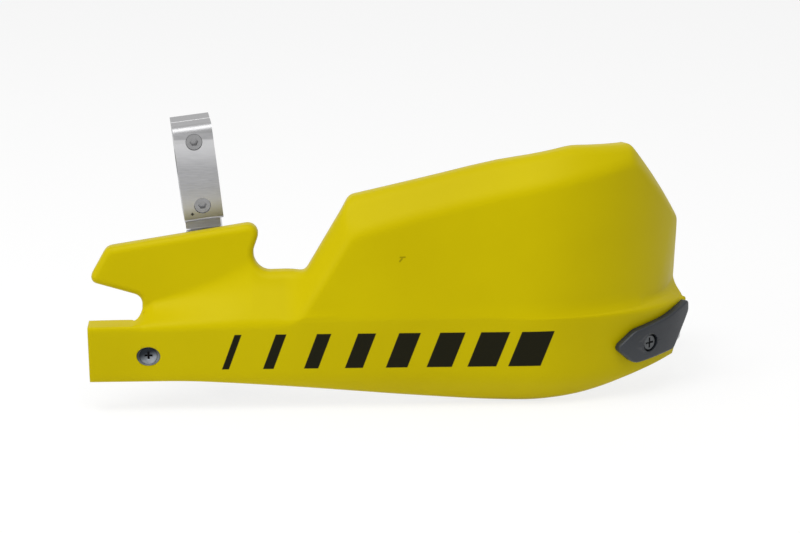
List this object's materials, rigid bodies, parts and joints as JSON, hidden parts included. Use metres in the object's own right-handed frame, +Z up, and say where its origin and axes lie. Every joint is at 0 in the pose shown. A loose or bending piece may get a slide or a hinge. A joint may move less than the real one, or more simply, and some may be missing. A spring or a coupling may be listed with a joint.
{
  "type": "motorcycle hand guard",
  "caption": "Left-hand guard for a motorcycle: plastic band, wing and shield over a bent flat bar, with a handlebar clamp, bar end mount and skid plate.",
  "frame": {"origin": "centre of the clamp's bore", "axes": "+X outboard along the straight part of the guard, +Y back to the rider, +Z up"},
  "size_m": [0.3254, 0.1195, 0.1485],
  "materials": {
    "yellow_plastic": "moulded in colour, fine satin grain",
    "dark_plastic": "satin blue-black plastic",
    "bar_aluminium": "mill finish with fine draw lines",
    "clamp_aluminium": "brushed across the width",
    "zinc_steel": "zinc plated",
    "black_steel": "black plated"
  },
  "bodies": {
    "root": {"guard_shell": "yellow_plastic", "skid_plate": "dark_plastic", "backbone": "bar_aluminium", "clamp_cap": "clamp_aluminium", "clamp_bracket": "clamp_aluminium", "clamp_screw_upper": "zinc_steel", "clamp_screw_lower": "zinc_steel", "mount_bolt": "zinc_steel", "mount_spacer": "bar_aluminium", "mount_washer": "zinc_steel", "mount_nut": "zinc_steel", "bar_end_bolt": "zinc_steel", "bar_end_washer": "zinc_steel", "bar_end_spacer": "bar_aluminium", "expander_sleeve": "bar_aluminium", "expander_cone": "zinc_steel", "guard_screw": "zinc_steel", "guard_screw_washer": "dark_plastic", "guard_screw_nut": "zinc_steel", "skid_screw": "black_steel", "skid_screw_nut": "zinc_steel"}
  },
  "joints": []
}
